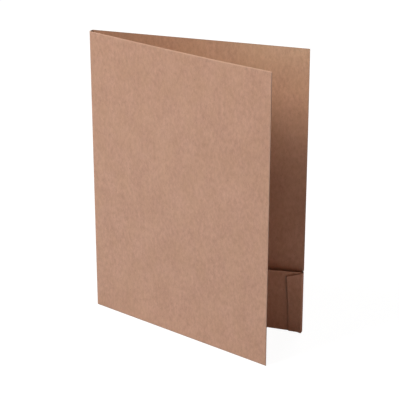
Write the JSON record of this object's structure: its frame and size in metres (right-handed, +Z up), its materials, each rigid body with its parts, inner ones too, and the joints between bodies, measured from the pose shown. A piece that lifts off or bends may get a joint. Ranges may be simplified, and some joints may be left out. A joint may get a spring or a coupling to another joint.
{
  "type": "document folder",
  "caption": "Card document folder with a narrow creased spine, a plain front cover that swings on it, and a glued low pocket inside the back cover for loose papers.",
  "frame": {"origin": "under the middle of the slightly open folder's box, at the height it stands on", "axes": "+Z up along the spine, +X from the spine to the back cover's fore edge, +Y out of the back cover's outer face; the front cover is on the -Y side"},
  "size_m": [0.2312, 0.0874, 0.31],
  "materials": {
    "kraft_card": "matte",
    "adhesive": "satin"
  },
  "bodies": {
    "back": {"back_cover": "kraft_card", "bottom_gusset": "kraft_card", "pocket_flap": "kraft_card", "pocket_glue_line": "adhesive", "side_gusset": "kraft_card", "side_tab": "kraft_card"},
    "spine": {"spine_panel": "kraft_card"},
    "front": {"front_cover": "kraft_card"}
  },
  "joints": [
    {"name": "back_crease", "type": "hinge", "parent": "back", "child": "spine", "pos_m": [-0.11436, 0.0434, 0.155], "axis": [0, 0, -1], "range_deg": [-8.8, 79.7]},
    {"name": "front_crease", "type": "hinge", "parent": "spine", "child": "front", "pos_m": [-0.11543, 0.0375, 0.155], "axis": [0, 0, -1], "range_deg": [-8.8, 79.7]}
  ],
  "couplings": [
    {"joint": "front_crease", "follows": "back_crease", "ratio": 1}
  ]
}
